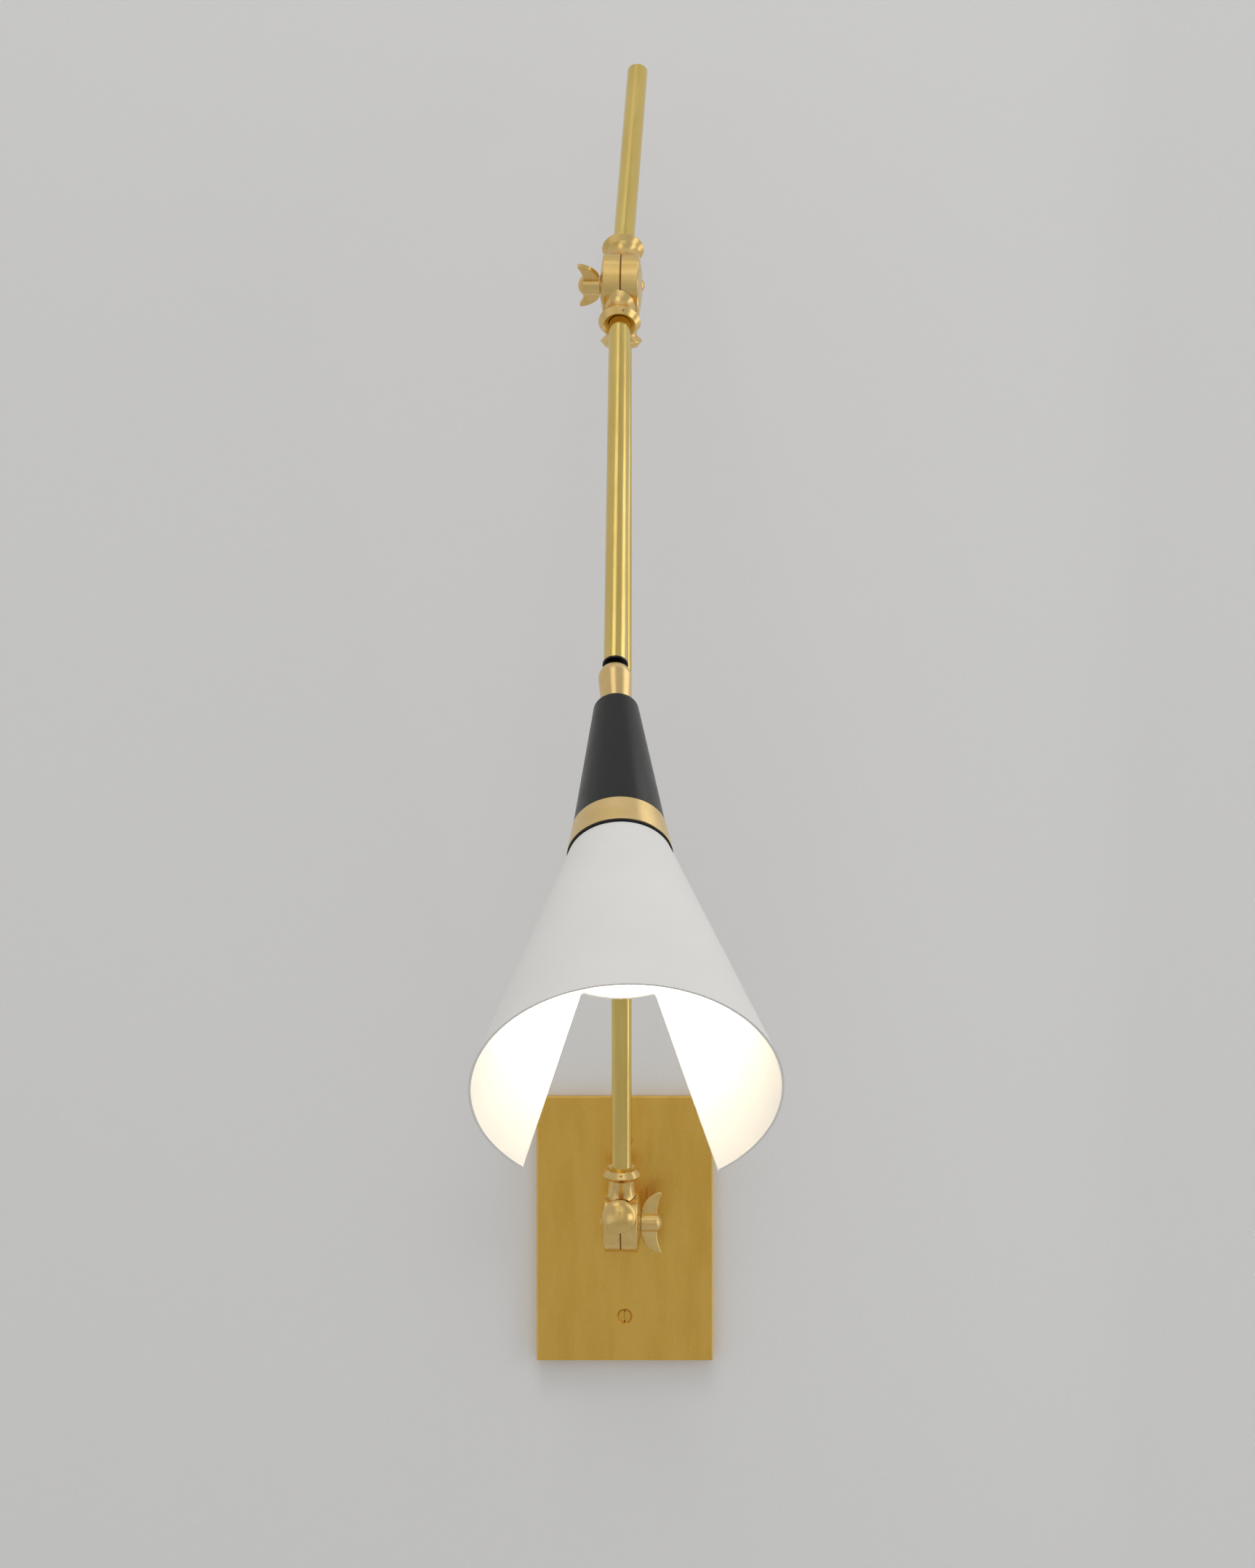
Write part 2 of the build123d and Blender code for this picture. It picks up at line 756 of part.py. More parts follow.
def make_tail_plug():
    """The flat cap of the tail tube, with a small bevel."""
    face = tail_frame.offset(-tail_length)
    with BuildPart() as plug:
        extrude(disc(face, tube_bore - grub_clear), amount=tail_plug_thick + tail_plug_depth)
        extrude(disc(face, tube_radius), amount=tail_plug_thick)
        chamfer(plug.edges().group_by(axis_of(tail_frame))[0], tail_plug_bevel)
    save(plug.part, "tail_plug")


# ---------------------------------------------------------------- head

def make_head_nipple():
    """A hollow threaded rod that hangs in the sleeve's web and carries the handle."""
    frame = head_frame
    end = handle_web + handle_nut_thick + 2
    with BuildPart() as nipple:
        extrude(disc(frame.offset(sleeve_web_top), nipple_flange_radius), amount=-nipple_flange_thick)
        extrude(disc(frame.offset(sleeve_web_top), nipple_radius), amount=end - sleeve_web_top)
        extrude(disc(frame, nipple_wire_radius), amount=2 * end, mode=Mode.SUBTRACT)
    save(nipple.part, "head_nipple")


def make_handle_nut():
    with BuildPart() as nut:
        with BuildSketch(head_frame.offset(handle_web)):
            RegularPolygon(handle_nut_radius, 6)
            Circle(nipple_radius + grub_clear, mode=Mode.SUBTRACT)
        extrude(amount=handle_nut_thick)
    save(nut.part, "handle_nut")


def make_handle():
    """The turned black handle: a round shoulder, a long cone, and a solid top for the nipple."""
    slope = (handle_end_radius - handle_shoulder_radius) / (handle_end - handle_shoulder)
    counterbore = handle_end - spigot_depth
    bore_end = handle_end_radius - slope * spigot_depth - handle_wall
    bore_top = handle_shoulder_radius + slope * (handle_web - handle_shoulder) - handle_wall
    hole = nipple_radius + grub_clear
    with BuildPart() as handle:
        with BuildSketch(section_of(head_frame)):
            with BuildLine():
                top = (handle_top_radius, handle_top)
                shoulder = (handle_shoulder_radius, handle_shoulder)
                Polyline((hole, handle_top), top)
                bend = (handle_shoulder_radius - handle_round, handle_top + handle_round)
                ThreePointArc(top, bend, shoulder)
                Polyline(
                    shoulder,
                    (handle_end_radius, handle_end),
                    (spigot_radius, handle_end),
                    (spigot_radius, counterbore),
                    (bore_end, counterbore),
                    (bore_top, handle_web),
                    (hole, handle_web),
                    (hole, handle_top),
                )
            make_face()
        revolve(axis=axis_of(head_frame))
    save(handle.part, "handle")


def make_brass_ring():
    """The ring under the handle: a conical skirt, a web, and a spigot in the handle's mouth."""
    web_end = handle_end + ring_web
    slope = (ring_end_radius - ring_top_radius) / (ring_end - handle_end)
    spigot = spigot_radius - run_clear
    with BuildPart() as ring:
        with BuildSketch(section_of(head_frame)):
            with BuildLine():
                Polyline(
                    (spigot, handle_end - spigot_depth + free_gap),
                    (spigot, handle_end),
                    (ring_top_radius, handle_end),
                    (ring_end_radius, ring_end),
                    (ring_end_radius - ring_wall, ring_end),
                    (ring_top_radius + slope * ring_web - ring_wall, web_end),
                    (holder_hole_radius, web_end),
                    (holder_hole_radius, handle_end),
                    (spigot - spigot_wall, handle_end),
                    (spigot - spigot_wall, handle_end - spigot_depth + free_gap),
                    close=True,
                )
            make_face()
        revolve(axis=axis_of(head_frame))
        rims = ring.edges().filter_by(GeomType.CIRCLE).sort_by(SortBy.RADIUS)
        fillet(rims[-1], 0.5)
    save(ring.part, "brass_ring")


def make_shade_gasket():
    with BuildPart() as gasket:
        ring = disc(head_frame.offset(ring_end), gasket_radius, holder_hole_radius)
        extrude(ring, amount=gasket_thick)
    save(gasket.part, "shade_gasket")


def make_shade():
    """A white cone with a closed top, and a wedge cut out of its wall side."""
    slope = (shade_end_radius - shade_top_radius) / (shade_end - shade_top)
    wall = shade_sheet * sqrt(1 + slope**2)
    under = Plane(head_frame.origin, x_dir=head_frame.x_dir, z_dir=-head_frame.y_dir)
    with BuildPart() as shade:
        with BuildSketch(section_of(head_frame)):
            with BuildLine():
                edge = (shade_top_radius - shade_top_round, shade_top)
                side = (shade_top_radius + slope * shade_top_round, shade_top + shade_top_round)
                Polyline((holder_hole_radius, shade_top), edge)
                ThreePointArc(edge, (shade_top_radius - 0.3, shade_top + 0.4), side)
                Polyline(
                    side,
                    (shade_end_radius, shade_end),
                    (shade_end_radius - wall, shade_end),
                    (shade_top_radius + slope * shade_sheet - wall, shade_top + shade_sheet),
                    (holder_hole_radius, shade_top + shade_sheet),
                    (holder_hole_radius, shade_top),
                )
            make_face()
        revolve(axis=axis_of(head_frame))
        with BuildSketch(under):
            with BuildLine():
                wide = 2 * shade_end_radius
                Polyline(
                    (slot_top_half, slot_top),
                    (slot_end_half, shade_end),
                    (wide, shade_end),
                    (wide, shade_end + wide),
                    (-wide, shade_end + wide),
                    (-wide, shade_end),
                    (-slot_end_half, shade_end),
                    (-slot_top_half, slot_top),
                    close=True,
                )
            make_face()
            corners = vertices().filter_by(lambda corner: abs(under.to_local_coords(corner).X) < wide - 1)
            low, high = corners.group_by(lambda corner: round(under.to_local_coords(corner).Y))
            fillet(low, slot_top_round)
            fillet(high, slot_end_round)
        extrude(amount=2 * shade_end_radius, mode=Mode.SUBTRACT)
    save(shade.part, "shade")


def make_lampholder():
    """The insulating body of the lampholder, with a flange on the ring's web."""
    flange_top = handle_end - holder_flange_thick
    with BuildPart() as holder:
        extrude(disc(head_frame.offset(holder_top), holder_radius), amount=holder_end - holder_top)
        top_edges = holder.edges().group_by(Axis(head_frame.origin, head_frame.z_dir))[0]
        fillet(top_edges, 2.5)
        extrude(disc(head_frame.offset(flange_top), holder_flange_radius), amount=holder_flange_thick)
        bore = disc(head_frame.offset(holder_top + holder_cap), holder_radius - holder_wall)
        extrude(bore, amount=holder_end - holder_top, mode=Mode.SUBTRACT)
        wire_hole = disc(head_frame.offset(holder_top), holder_wire_radius)
        extrude(wire_hole, amount=holder_cap, mode=Mode.SUBTRACT)
    save(holder.part, "lampholder")


def make_screw_shell():
    start = holder_top + holder_cap
    with BuildPart() as shell:
        tube = disc(head_frame.offset(start), shell_radius, shell_radius - shell_thick)
        extrude(tube, amount=shell_end - start)
    save(shell.part, "screw_shell")


def make_centre_contact():
    """A bent brass strip between the holder's cap and the bulb's tip."""
    start = holder_top + holder_cap
    top = base_tip - free_gap
    half = contact_reach / 2
    with BuildPart() as contact:
        with BuildSketch(section_of(head_frame)):
            with BuildLine():
                Polyline(
                    (-half, start),
                    (half, start),
                    (half, top),
                    (-half / 2, top),
                    (-half / 2, top - contact_thick),
                    (half - contact_thick, top - contact_thick),
                    (half - contact_thick, start + contact_thick),
                    (-half, start + contact_thick),
                    close=True,
                )
            make_face()
        extrude(amount=contact_width / 2, both=True)
    save(contact.part, "centre_contact")


def make_shade_lock_ring():
    """A gripped ring on the holder, tight under the shade's top."""
    frame = head_frame.offset(shade_top + shade_sheet)
    with BuildPart() as ring:
        with BuildSketch(frame):
            Circle(lock_ring_radius)
            Circle(holder_hole_radius, mode=Mode.SUBTRACT)
            with PolarLocations(lock_ring_radius, lock_ring_grips):
                Circle(lock_ring_grip_radius, mode=Mode.SUBTRACT)
        extrude(amount=lock_ring_thick)
    save(ring.part, "shade_lock_ring")


def make_bulb_base():
    """The bulb's base: contact tip, glass insulator, and a rolled thread drawn as ridges."""
    ridges = int((base_end - base_shoulder) / base_ridge_pitch)
    with BuildPart() as base:
        with BuildSketch(section_of(head_frame)):
            with BuildLine():
                Polyline(
                    (base_radius, base_shoulder),
                    (base_radius - 1.5, base_shoulder - 0.6),
                    (base_tip_radius, base_tip + base_tip_thick),
                    (base_tip_radius, base_tip),
                    (0, base_tip),
                    (0, base_end),
                    (base_radius, base_end),
                    (base_radius, base_shoulder + ridges * base_ridge_pitch),
                )
                for ridge in range(ridges):
                    start = base_shoulder + ridge * base_ridge_pitch
                    ThreePointArc(
                        (base_radius, start),
                        (base_radius + base_ridge_height, start + base_ridge_pitch / 2),
                        (base_radius, start + base_ridge_pitch),
                    )
            make_face()
        revolve(axis=axis_of(head_frame))
    save(base.part, "bulb_base")


def globe_profile(radius, neck):
    """Half the section of a filled globe with a neck that runs down to the bulb's base."""
    join = globe_centre - sqrt(radius**2 - (1.2 * neck) ** 2)
    with BuildSketch(section_of(head_frame)) as outline:
        with BuildLine():
            Polyline((neck, base_end), (0, base_end), (0, globe_centre + radius))
            ThreePointArc((0, globe_centre + radius), (radius, globe_centre), (1.2 * neck, join))
            TangentArc((neck, base_end), (1.2 * neck, join), tangent=(0, 1))
        make_face()
    return outline.sketch


def make_bulb_globe():
    with BuildPart() as globe:
        revolve(globe_profile(globe_radius, globe_neck_radius), axis=axis_of(head_frame))
        inside = globe_profile(globe_radius - globe_sheet, globe_neck_radius - globe_sheet)
        revolve(inside, axis=axis_of(head_frame), mode=Mode.SUBTRACT)
    save(globe.part, "bulb_globe")


# ---------------------------------------------------------------- the lamp, from the wall outwards

make_back_plate()
make_mounting_strap()
make_plate_screws()
make_ball_retainer()
make_retainer_screws()
make_liner(
    "wall_ball_liner",
    Plane(wall_ball, z_dir=heading(tee_side, 0)),
    wall_ball_radius + run_clear,
    wall_liner_radius,
    wall_liner_front,
    wall_liner_back,
)
make_wall_ball_stud()
make_knuckle(
    "wall_knuckle",
    wall_tee_frame,
    1,
    (1, -1),
    [(1, tee_fold_angle)],
    nut_radius + free_gap,
    [stud_screw_frame(wall_tee_frame)],
)
make_knuckle_cap()
stud_screws = [stud_screw_frame(wall_tee_frame).offset(stud_grub_top)]
make_grub_screws("stud_grub_screw", stud_screws, stud_grub_top - stud_grub_tip)

lower_screws = [rim_screw_frame(foot_frame, 1, 180), rim_screw_frame(top_frame, 1, 180)]
foot_folds = [(1, -foot_fold_angle)]
top_folds = [(1, fold_angle), (1, -fold_angle)]
make_knuckle("lower_arm_foot", foot_frame, -1, (1,), foot_folds, bolt_head_radius, lower_screws[:1])
make_knuckle("lower_arm_top", top_frame, 1, (1,), top_folds, bolt_head_radius, lower_screws[1:])
make_tube("lower_arm_tube", foot_frame, tube_start, lower_length - tube_start)
make_grub_screws("lower_arm_grub_screws", lower_screws, grub_length)
make_bolt("wall_pivot_bolt", foot_frame, -1)
make_bolt("elbow_pivot_bolt", top_frame, 1)
make_friction_washer("wall_friction_washer", foot_frame, -1)
make_friction_washer("elbow_friction_washer", top_frame, 1)

wall_wing_line = wall_bolt_line.cross(Vector(0, -1, 0)).normalized()
elbow_upright = elbow_bolt_line.cross(Vector(0, -1, 0)).normalized()
elbow_wing_line = turned(elbow_upright, elbow_bolt_line, elbow_nut_turn)
make_wing_nut("wall_wing_nut", wall_pivot, wall_bolt_line, wall_wing_line)
make_wing_nut("elbow_wing_nut", elbow_pivot, -elbow_bolt_line, elbow_wing_line)

upper_screws = [rim_screw_frame(elbow_tee_frame, 1, grub_turn), rim_screw_frame(elbow_tee_frame, -1, 180)]
elbow_folds = [(1, -fold_angle), (-1, -fold_angle)]
make_knuckle(
    "elbow_knuckle",
    elbow_tee_frame,
    -1,
    (1, -1),
    elbow_folds,
    nut_radius + free_gap,
    upper_screws,
)
make_tube("front_tube", front_frame, tube_start, tube_end)
make_tube("tail_tube", tail_frame, tail_plug_thick - tail_length, -tube_start)
make_tail_plug()
make_grub_screws("upper_arm_grub_screws", upper_screws, grub_length)
make_head_ball_stud()

make_liner(
    "head_ball_liner",
    Plane(arm_ball_frame.origin, x_dir=arm_ball_frame.x_dir, z_dir=-arm_ball_frame.z_dir),
    head_ball_radius + run_clear,
    head_liner_radius,
    head_liner_back,
    head_liner_front,
)
make_ball_sleeve()
make_head_nipple()
make_handle_nut()
make_handle()
make_brass_ring()
make_shade_gasket()
make_shade()
make_lampholder()
make_screw_shell()
make_centre_contact()
make_shade_lock_ring()
make_bulb_base()
make_bulb_globe()
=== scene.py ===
"""Looks of the articulating wall lamp: finishes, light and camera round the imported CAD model.

Frame: metres, X right, Y into the wall, Z up, origin on the wall at the plate's centre.
"""

import json
import math

import bpy
import numpy as np
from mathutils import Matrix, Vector


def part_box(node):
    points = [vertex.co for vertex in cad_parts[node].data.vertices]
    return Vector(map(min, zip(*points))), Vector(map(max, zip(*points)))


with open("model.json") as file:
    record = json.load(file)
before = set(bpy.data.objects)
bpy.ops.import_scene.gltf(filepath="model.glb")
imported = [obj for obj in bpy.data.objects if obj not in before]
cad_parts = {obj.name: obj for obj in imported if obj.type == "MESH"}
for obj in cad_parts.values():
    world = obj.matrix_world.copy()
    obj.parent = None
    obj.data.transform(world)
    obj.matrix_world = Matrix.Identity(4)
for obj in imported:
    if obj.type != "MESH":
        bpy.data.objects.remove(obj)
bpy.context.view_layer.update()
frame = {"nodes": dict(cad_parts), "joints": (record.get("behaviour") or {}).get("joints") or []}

# the photograph's height and focal length in pixels, and where its camera stood
PHOTO_HEIGHT = 2156
FOCAL_PIXELS = 5005
SENSOR_HEIGHT = 36.0                # mm
CAMERA_PLACE = Vector((0.00184, -2.3746, 0.28848))
CLIP_START = 0.05
CLIP_END = 60.0

# the stage: a wall with an opening behind the back plate, and a floor
WALL_SIZE = 7.0
WALL_COLOUR = (0.83, 0.83, 0.83)
BOX_MARGIN = 0.012                  # the opening's edge, inside the plate's outline
FLOOR_DROP = 1.55
FLOOR_COLOUR = (0.72, 0.72, 0.72)
PAINT_BUMP = 0.0004

# the room that the brass reflects: an even ground, and soft patches of light on it
ROOM_TINT = (1.0, 0.995, 0.985, 1.0)
ROOM_GROUND = 0.49
ROOM_PATCHES = [                    # direction, inner and outer angle in degrees, strength
    ((-0.22, -0.10, 0.97), 7, 16, 0.75),
    ((0.0, -0.60, 0.80), 8, 26, 0.35),
    ((0.0, -0.88, 0.45), 8, 32, 0.20),
    ((-0.7, -0.75, -0.1), 8, 35, 0.22),
]

# the area lights: name, place, target, width, height, power, colour, shown in reflections
LAMP_MIDDLE = (0.0, -0.2, 0.3)
LIGHTS = [
    ("key", (-0.2, -1.5, 3.0), LAMP_MIDDLE, 1.6, 0.9, 15.0, (1.0, 0.99, 0.975), False),
    ("panel", (0.56, -0.13, 0.45), (0.06, -1.0, 0.45), 0.34, 1.4, 1.2, (1.0, 1.0, 1.0), True),
    ("side", (2.6, -1.7, 0.45), LAMP_MIDDLE, 1.4, 1.4, 6.0, (1.0, 1.0, 1.0), True),
]

# the lit bulb
BULB_TINT = (1.0, 0.86, 0.66, 1.0)
BULB_STRENGTH = 18.0


# ---------------------------------------------------------------- frames taken from the CAD model

JOINTS = {joint["name"]: joint for joint in frame["joints"]}


def joint_place(name):
    return Vector(JOINTS[name]["pos_m"])


def joint_axis(name):
    return Vector(JOINTS[name]["axis"]).normalized()


def long_axis(node):
    """The direction in which a node is longest."""
    mesh = frame["nodes"][node].data
    points = np.empty(3 * len(mesh.vertices))
    mesh.vertices.foreach_get("co", points)
    points = points.reshape(-1, 3)
    values, vectors = np.linalg.eigh(np.cov((points - points.mean(axis=0)).T))
    return Vector(vectors[:, values.argmax()])


# ---------------------------------------------------------------- material building blocks

NOISE_ROUGHNESS = 0.55
FINE_BUMP = 0.00002                 # depth of brush lines, turning lines and orange peel


class Material:
    """A node material with a Principled shader, and short ways to add to it."""

    def __init__(self, name, colour, metallic=0.0, roughness=0.5, **sockets):
        self.data = bpy.data.materials.new(name)
        self.data.use_nodes = True
        self.nodes = self.data.node_tree.nodes
        self.links = self.data.node_tree.links
        self.shader = self.nodes["Principled BSDF"]
        self.shader.inputs["Base Color"].default_value = (*colour, 1.0)
        self.shader.inputs["Metallic"].default_value = metallic
        self.shader.inputs["Roughness"].default_value = roughness
        for socket, value in sockets.items():
            self.shader.inputs[socket.replace("_", " ")].default_value = value
        self.position = self.node("ShaderNodeTexCoord").outputs["Object"]

    def node(self, kind, **settings):
        made = self.nodes.new(kind)
        for key, value in settings.items():
            setattr(made, key, value)
        return made

    def feed(self, socket, value):
        """Links an output to a socket, or sets the socket's number."""
        if isinstance(value, bpy.types.NodeSocket):
            self.links.new(value, socket)
        else:
            socket.default_value = value

    def math(self, operation, first, second):
        made = self.node("ShaderNodeMath", operation=operation)
        for socket, value in zip(made.inputs, (first, second)):
            self.feed(socket, value)
        return made.outputs[0]

    def along(self, axis, origin=(0, 0, 0)):
        """The distance along an axis, in metres, from an origin."""
        moved = self.node("ShaderNodeVectorMath", operation="SUBTRACT")
        self.feed(moved.inputs[0], self.position)
        moved.inputs[1].default_value = origin
        dot = self.node("ShaderNodeVectorMath", operation="DOT_PRODUCT")
        self.feed(dot.inputs[0], moved.outputs[0])
        dot.inputs[1].default_value = axis
        return dot.outputs["Value"]

    def grain_space(self, axis, stretch):
        """Coordinates in which everything is drawn out along an axis, stretch times."""
        scaled = self.node("ShaderNodeVectorMath", operation="SCALE")
        scaled.inputs[0].default_value = axis
        self.feed(scaled.inputs["Scale"], self.math("MULTIPLY", self.along(axis), 1 / stretch - 1))
        moved = self.node("ShaderNodeVectorMath", operation="ADD")
        self.feed(moved.inputs[0], self.position)
        self.feed(moved.inputs[1], scaled.outputs[0])
        return moved.outputs[0]

    def noise(self, scale, vector=None, detail=3.0):
        made = self.node("ShaderNodeTexNoise")
        self.feed(made.inputs["Vector"], vector or self.position)
        made.inputs["Scale"].default_value = scale
        made.inputs["Detail"].default_value = detail
        made.inputs["Roughness"].default_value = NOISE_ROUGHNESS
        return made.outputs["Fac"]

    def between(self, value, low, high, to_low=0.0, to_high=1.0):
        made = self.node("ShaderNodeMapRange", interpolation_type="SMOOTHSTEP")
        for name, number in zip(("Value", "From Min", "From Max", "To Min", "To Max"),
                                (value, low, high, to_low, to_high)):
            self.feed(made.inputs[name], number)
        return made.outputs["Result"]

    def mixed(self, factor, first, second):
        """A colour between two colours."""
        made = self.node("ShaderNodeMix", data_type="RGBA")
        self.feed(made.inputs["Factor"], factor)
        for socket, colour in zip((made.inputs[6], made.inputs[7]), (first, second)):
            self.feed(socket, (*colour, 1.0))
        return made.outputs[2]

    def colour(self, value):
        self.feed(self.shader.inputs["Base Color"], value)

    def roughness(self, value):
        self.feed(self.shader.inputs["Roughness"], value)

    def bump(self, height, distance, strength=1.0):
        made = self.node("ShaderNodeBump")
        made.inputs["Strength"].default_value = strength
        made.inputs["Distance"].default_value = distance
        self.feed(made.inputs["Height"], height)
        if self.shader.inputs["Normal"].is_linked:
            self.feed(made.inputs["Normal"], self.shader.inputs["Normal"].links[0].from_socket)
        self.feed(self.shader.inputs["Normal"], made.outputs["Normal"])


# ---------------------------------------------------------------- finishes

PLATE_BRASS = (0.84, 0.53, 0.115)
PLATE_BRASS_DEEP = (0.76, 0.465, 0.09)
TUBE_BRASS = (0.82, 0.62, 0.20)
TUBE_BRASS_DEEP = (0.75, 0.55, 0.16)
CAST_BRASS = (0.84, 0.60, 0.24)
CAST_BRASS_DEEP = (0.77, 0.53, 0.18)
HEAD_BRASS = (0.85, 0.62, 0.28)
HEAD_BRASS_DEEP = (0.80, 0.57, 0.23)
PLATE_ROUGHNESS = 0.25
TUBE_ROUGHNESS = 0.17
CAST_ROUGHNESS = 0.22
HEAD_ROUGHNESS = 0.24
ENAMEL = (0.85, 0.84, 0.815)
ENAMEL_DEEP = (0.82, 0.815, 0.795)
UPRIGHT = Vector((0, 0, 1))


def brushed_brass(name, axis, roughness=TUBE_ROUGHNESS, tone=TUBE_BRASS, deep=TUBE_BRASS_DEEP):
    """Satin brass with fine brush lines along an axis, and slow changes of tone."""
    made = Material(name, tone, metallic=1.0, roughness=roughness)
    lines = made.noise(4200.0, made.grain_space(axis, 60.0), detail=2.0)
    cloud = made.noise(55.0, made.grain_space(axis, 4.0), detail=4.0)
    made.colour(made.mixed(made.between(cloud, 0.35, 0.7), tone, deep))
    grain = made.between(lines, 0.3, 0.7, roughness - 0.07, roughness + 0.08)
    made.roughness(made.math("ADD", grain, made.between(cloud, 0.3, 0.7, -0.03, 0.03)))
    made.bump(lines, FINE_BUMP, 0.35)
    return made


def turned_brass(name, axis, origin, roughness=CAST_ROUGHNESS, tone=CAST_BRASS,
                 deep=CAST_BRASS_DEEP):
    """Cast and turned brass: faint turning lines round an axis, and small dents and stains."""
    made = Material(name, tone, metallic=1.0, roughness=roughness)
    distance = made.along(axis, origin)
    turning = made.node("ShaderNodeCombineXYZ")
    made.feed(turning.inputs["X"], distance)
    lines = made.noise(3000.0, turning.outputs[0], detail=2.0)
    cloud = made.noise(70.0, detail=5.0)
    specks = made.noise(900.0, detail=2.0)
    made.colour(made.mixed(made.between(cloud, 0.35, 0.7), tone, deep))
    made.roughness(made.math("ADD", made.between(lines, 0.3, 0.7, roughness - 0.05, roughness + 0.06),
                             made.between(specks, 0.45, 0.75, 0.0, 0.06)))
    made.bump(lines, FINE_BUMP, 0.3)
    made.bump(cloud, 0.0003, 0.12)
    return made


def black_lacquer(name, axis):
    """Satin black with a thin clear coat, and faint turning rings under it."""
    made = Material(name, (0.008, 0.008, 0.008), roughness=0.36, Specular_IOR_Level=0.25,
                    Coat_Weight=0.12, Coat_Roughness=0.1)
    rings = made.node("ShaderNodeCombineXYZ")
    made.feed(rings.inputs["X"], made.along(axis))
    lines = made.noise(1500.0, rings.outputs[0], detail=2.0)
    cloud = made.noise(90.0, detail=4.0)
    made.colour(made.mixed(made.between(cloud, 0.3, 0.7),
                           (0.007, 0.007, 0.007), (0.011, 0.011, 0.011)))
    made.roughness(made.between(cloud, 0.3, 0.7, 0.32, 0.40))
    made.bump(lines, FINE_BUMP, 0.15)
    return made


def white_enamel(name):
    """Sprayed satin white: a very fine orange peel and a slight warm cast."""
    made = Material(name, ENAMEL, roughness=0.42)
    peel = made.noise(1400.0, detail=2.0)
    cloud = made.noise(18.0, detail=3.0)
    made.colour(made.mixed(made.between(cloud, 0.3, 0.7), ENAMEL, ENAMEL_DEEP))
    made.roughness(made.between(cloud, 0.3, 0.7, 0.38, 0.48))
    made.bump(peel, FINE_BUMP, 0.25)
    return made


def plain_metal(name, colour, roughness):
    """Machined or plated metal: uneven polish and upright hairline scratches."""
    made = Material(name, colour, metallic=1.0, roughness=roughness)
    cloud = made.noise(160.0, detail=4.0)
    scratches = made.noise(2600.0, made.grain_space(UPRIGHT, 30.0), detail=2.0)
    made.roughness(made.math("ADD", made.between(cloud, 0.3, 0.7, roughness - 0.06, roughness + 0.1),
                             made.between(scratches, 0.4, 0.7, 0.0, 0.06)))
    made.bump(scratches, FINE_BUMP, 0.3)
    return made


def moulded(name, colour, roughness):
    """Fibre, nylon or phenolic: a fine grain and a little mottling."""
    made = Material(name, colour, roughness=roughness)
    cloud = made.noise(220.0, detail=4.0)
    grain = made.noise(2400.0, detail=2.0)
    darker = tuple(0.8 * part for part in colour)
    made.colour(made.mixed(made.between(cloud, 0.3, 0.7), colour, darker))
    made.roughness(made.between(cloud, 0.3, 0.7, roughness - 0.08, roughness + 0.08))
    made.bump(grain, 0.00003, 0.3)
    return made


def lit_globe(name):
    """Opal glass with the lamp on."""
    made = Material(name, (0.95, 0.93, 0.88), roughness=0.25)
    made.shader.inputs["Emission Color"].default_value = BULB_TINT
    made.shader.inputs["Emission Strength"].default_value = BULB_STRENGTH
    cloud = made.noise(60.0, detail=2.0)
    made.colour(made.mixed(made.between(cloud, 0.3, 0.7),
                           (0.95, 0.93, 0.88), (0.92, 0.90, 0.85)))
    return made


def dress(nodes, material):
    """Gives CAD nodes their finish."""
    for name in nodes:
        mesh = frame["nodes"][name].data
        mesh.materials.clear()
        mesh.materials.append(material.data)


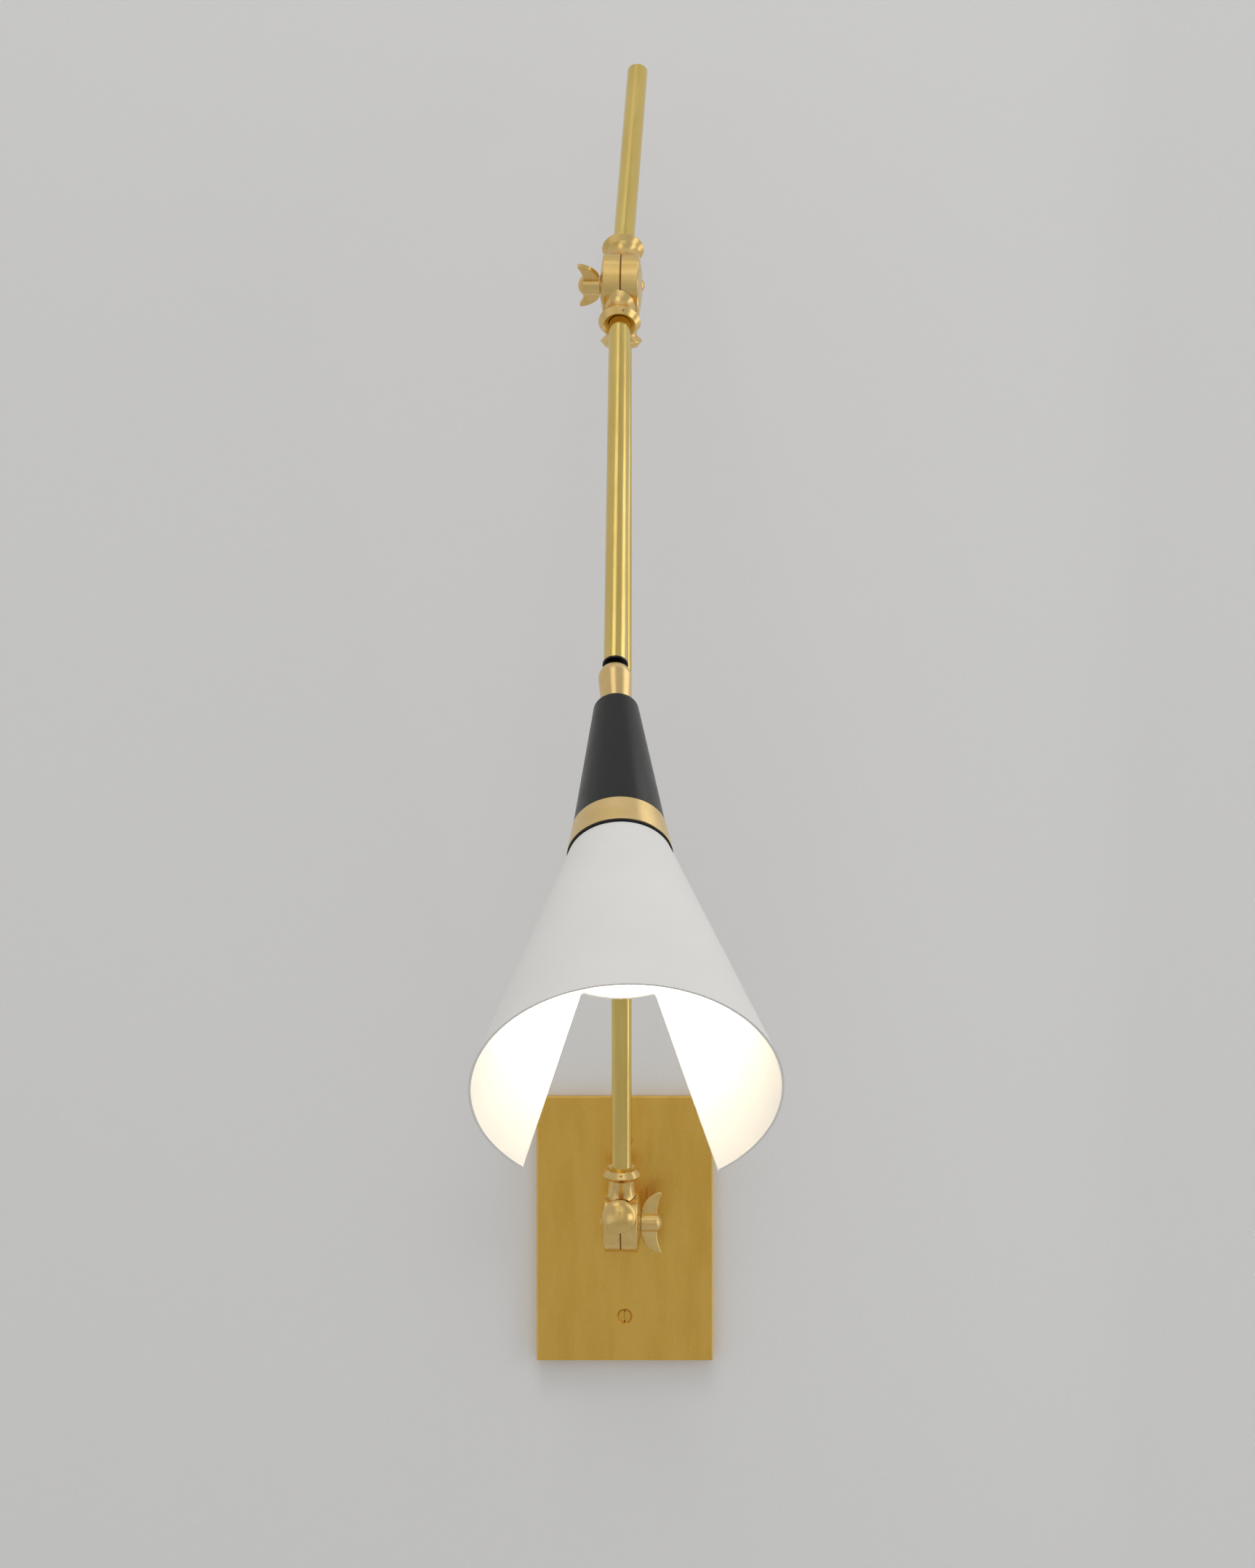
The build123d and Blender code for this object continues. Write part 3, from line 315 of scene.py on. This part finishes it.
def dress_all():
    wall_line = joint_axis("wall_swivel")
    wall_bolt = joint_axis("wall_pivot")
    elbow_bolt = joint_axis("elbow_pivot")
    head_line = joint_axis("head_spin")
    dress(["back_plate"],
          brushed_brass("plate_brass", UPRIGHT, PLATE_ROUGHNESS, PLATE_BRASS, PLATE_BRASS_DEEP))
    dress(["lower_arm_tube"], brushed_brass("lower_tube_brass", long_axis("lower_arm_tube")))
    dress(["front_tube"], brushed_brass("front_tube_brass", long_axis("front_tube")))
    dress(["tail_tube", "tail_plug"], brushed_brass("tail_tube_brass", long_axis("tail_tube")))
    dress(["wall_knuckle", "knuckle_cap", "wall_ball_stud"],
          turned_brass("wall_knuckle_brass", wall_line, joint_place("wall_pivot")))
    dress(["lower_arm_foot", "lower_arm_top"],
          turned_brass("arm_knuckle_brass", long_axis("lower_arm_tube"), joint_place("wall_pivot")))
    dress(["elbow_knuckle"],
          turned_brass("elbow_knuckle_brass", long_axis("front_tube"), joint_place("elbow_pivot")))
    dress(["wall_wing_nut", "wall_pivot_bolt"],
          turned_brass("wall_nut_brass", wall_bolt, joint_place("wall_pivot")))
    dress(["elbow_wing_nut", "elbow_pivot_bolt"],
          turned_brass("elbow_nut_brass", elbow_bolt, joint_place("elbow_pivot")))
    dress(["ball_sleeve", "brass_ring"],
          turned_brass("head_brass", head_line, joint_place("head_spin"), HEAD_ROUGHNESS,
                       HEAD_BRASS, HEAD_BRASS_DEEP))
    # Painted shade: the ball stud is partly real blackened steel, but it is made near black so that
    # the crescent between the front tube's end and the sleeve reads as deep shade.
    dress(["head_ball_stud"], plain_metal("painted_shade_black_steel", (0.06, 0.057, 0.053), 0.26))
    dress(["handle"], black_lacquer("handle_lacquer", head_line))
    dress(["shade"], white_enamel("shade_enamel"))
    dress(["shade_gasket"], moulded("black_rubber", (0.015, 0.015, 0.015), 0.7))
    dress(["wall_friction_washer", "elbow_friction_washer"],
          moulded("brown_fibre", (0.30, 0.18, 0.06), 0.6))
    dress(["lampholder", "shade_lock_ring"], moulded("phenolic", (0.02, 0.019, 0.018), 0.45))
    dress(["wall_ball_liner", "head_ball_liner"], moulded("nylon", (0.75, 0.74, 0.70), 0.5))
    dress(["plate_screws"], plain_metal("screw_brass", PLATE_BRASS_DEEP, 0.32))
    dress(["stud_grub_screw", "lower_arm_grub_screws", "upper_arm_grub_screws"],
          plain_metal("grub_brass", CAST_BRASS_DEEP, 0.4))
    dress(["mounting_strap", "ball_retainer", "retainer_screws", "head_nipple", "handle_nut"],
          plain_metal("zinc_steel", (0.55, 0.55, 0.57), 0.36))
    dress(["screw_shell", "centre_contact"], plain_metal("contact_brass", CAST_BRASS, 0.3))
    dress(["bulb_base"], plain_metal("bulb_cap_metal", (0.78, 0.78, 0.80), 0.28))
    dress(["bulb_globe"], lit_globe("opal_glass"))


# ---------------------------------------------------------------- room, light and camera

def one_sided(name, colour):
    """Paint that is seen from its front only, so that views from behind see past it."""
    made = Material(name, colour, roughness=0.85)
    cloud = made.noise(0.9, detail=3.0)
    paint = made.noise(260.0, detail=3.0)
    darker = tuple(0.985 * part for part in colour)
    made.colour(made.mixed(made.between(cloud, 0.3, 0.7), colour, darker))
    made.bump(paint, PAINT_BUMP, 0.3)
    clear = made.node("ShaderNodeBsdfTransparent")
    side = made.node("ShaderNodeNewGeometry").outputs["Backfacing"]
    mix = made.node("ShaderNodeMixShader")
    made.feed(mix.inputs[0], side)
    made.links.new(made.shader.outputs[0], mix.inputs[1])
    made.links.new(clear.outputs[0], mix.inputs[2])
    made.links.new(mix.outputs[0], made.nodes["Material Output"].inputs["Surface"])
    return made


def stage_plane(name, corners, material, faces=((0, 1, 2, 3),)):
    mesh = bpy.data.meshes.new(name)
    mesh.from_pydata(corners, [], faces)
    mesh.materials.append(material.data)
    made = bpy.data.objects.new(name, mesh)
    bpy.context.scene.collection.objects.link(made)


def build_room():
    half = WALL_SIZE / 2
    low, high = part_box("back_plate")
    left, right = low[0] + BOX_MARGIN, high[0] - BOX_MARGIN
    bottom, top = low[2] + BOX_MARGIN, high[2] - BOX_MARGIN
    wall_corners = [(-half, -FLOOR_DROP), (half, -FLOOR_DROP), (half, WALL_SIZE), (-half, WALL_SIZE),
                    (left, bottom), (right, bottom), (right, top), (left, top)]
    stage_plane("wall", [(x, 0.0, z) for x, z in wall_corners], one_sided("wall_paint", WALL_COLOUR),
                ((0, 1, 5, 4), (1, 2, 6, 5), (2, 3, 7, 6), (3, 0, 4, 7)))
    floor_corners = [(-half, -WALL_SIZE), (half, -WALL_SIZE), (half, 0.0), (-half, 0.0)]
    stage_plane("floor", [(x, y, -FLOOR_DROP) for x, y in floor_corners],
                one_sided("floor_paint", FLOOR_COLOUR))


def area_light(name, place, target, width, height, power, colour, mirrored):
    data = bpy.data.lights.new(name, "AREA")
    data.shape = "RECTANGLE"
    data.size = width
    data.size_y = height
    data.energy = power
    data.color = colour
    made = bpy.data.objects.new(name, data)
    made.location = place
    made.rotation_mode = "QUATERNION"
    made.rotation_quaternion = (Vector(target) - Vector(place)).to_track_quat("-Z", "Y")
    made.visible_glossy = mirrored
    bpy.context.scene.collection.objects.link(made)


def build_world():
    """A pale room: soft patches of light in given directions over an even ground."""
    world = bpy.data.worlds.new("studio")
    bpy.context.scene.world = world
    world.use_nodes = True
    nodes, links = world.node_tree.nodes, world.node_tree.links
    direction = nodes.new("ShaderNodeTexCoord").outputs["Generated"]
    total = None
    for toward, inner, outer, strength in ROOM_PATCHES:
        dot = nodes.new("ShaderNodeVectorMath")
        dot.operation = "DOT_PRODUCT"
        links.new(direction, dot.inputs[0])
        dot.inputs[1].default_value = Vector(toward).normalized()
        patch = nodes.new("ShaderNodeMapRange")
        patch.interpolation_type = "SMOOTHSTEP"
        links.new(dot.outputs["Value"], patch.inputs["Value"])
        patch.inputs["From Min"].default_value = math.cos(math.radians(outer))
        patch.inputs["From Max"].default_value = math.cos(math.radians(inner))
        patch.inputs["To Max"].default_value = strength
        added = nodes.new("ShaderNodeMath")
        links.new(patch.outputs["Result"], added.inputs[0])
        if total:
            links.new(total, added.inputs[1])
        else:
            added.inputs[1].default_value = ROOM_GROUND
        total = added.outputs[0]
    background = nodes["Background"]
    background.inputs["Color"].default_value = ROOM_TINT
    links.new(total, background.inputs["Strength"])


def build_camera():
    data = bpy.data.cameras.new("photo_camera")
    data.sensor_fit = "VERTICAL"
    data.sensor_height = SENSOR_HEIGHT
    data.sensor_width = SENSOR_HEIGHT
    data.lens = FOCAL_PIXELS / PHOTO_HEIGHT * SENSOR_HEIGHT
    data.clip_start = CLIP_START
    data.clip_end = CLIP_END
    made = bpy.data.objects.new("photo_camera", data)
    made.location = CAMERA_PLACE
    made.rotation_euler = (math.pi / 2, 0.0, 0.0)
    bpy.context.scene.collection.objects.link(made)
    bpy.context.scene.camera = made


bpy.context.scene.view_settings.view_transform = "Standard"
build_camera()
build_room()
build_world()
for light in LIGHTS:
    area_light(*light)
dress_all()
